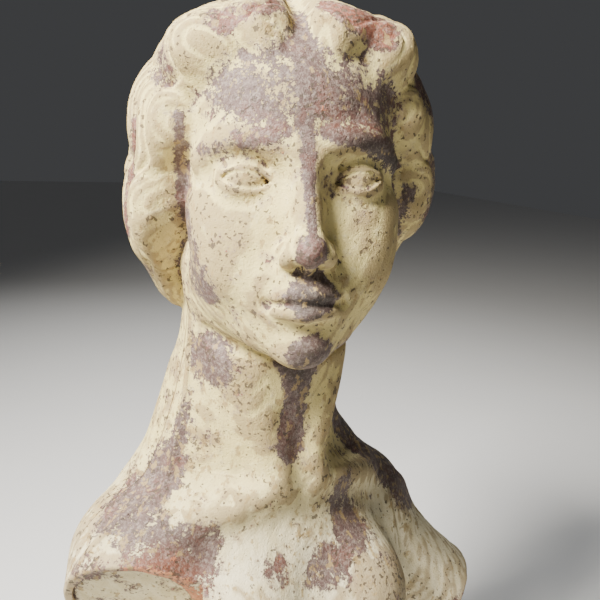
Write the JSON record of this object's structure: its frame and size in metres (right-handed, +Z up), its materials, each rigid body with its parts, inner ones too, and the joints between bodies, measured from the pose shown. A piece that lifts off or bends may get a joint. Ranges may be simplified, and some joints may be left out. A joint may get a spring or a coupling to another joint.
{
  "type": "bust statuette",
  "caption": "Classical head-and-shoulders bust in worn painted terracotta, moulded in two halves, arms cut short, on a turned socle.",
  "frame": {"origin": "middle of the felt pad's underside, under the tie rod's axis", "axes": "+Z up, -Y the way the chest faces, +X the figure's left"},
  "size_m": [0.2903, 0.1783, 0.5337],
  "materials": {
    "painted_terracotta": "worn chalky cream paint over purple-brown and orange terracotta",
    "slab_clay": "grey-cream limewashed clay",
    "socle_terracotta": "worn chalky cream paint over terracotta",
    "casting_plaster": "cast gypsum plaster",
    "zinc_steel": "zinc-plated steel",
    "beech_dowel": "plain beech",
    "gasket_leather": "vegetable-tanned leather",
    "green_felt": "wool felt"
  },
  "bodies": {
    "root": {"bust_front_shell": "painted_terracotta", "bust_back_shell": "painted_terracotta", "right_arm_slab": "slab_clay", "left_arm_slab": "slab_clay", "socle": "socle_terracotta", "plaster_plug": "casting_plaster", "tie_rod": "zinc_steel", "upper_washer": "zinc_steel", "upper_nut": "zinc_steel", "lower_washer": "zinc_steel", "lower_nut": "zinc_steel", "locating_dowel": "beech_dowel", "leather_gasket": "gasket_leather", "felt_pad": "green_felt"}
  },
  "joints": []
}
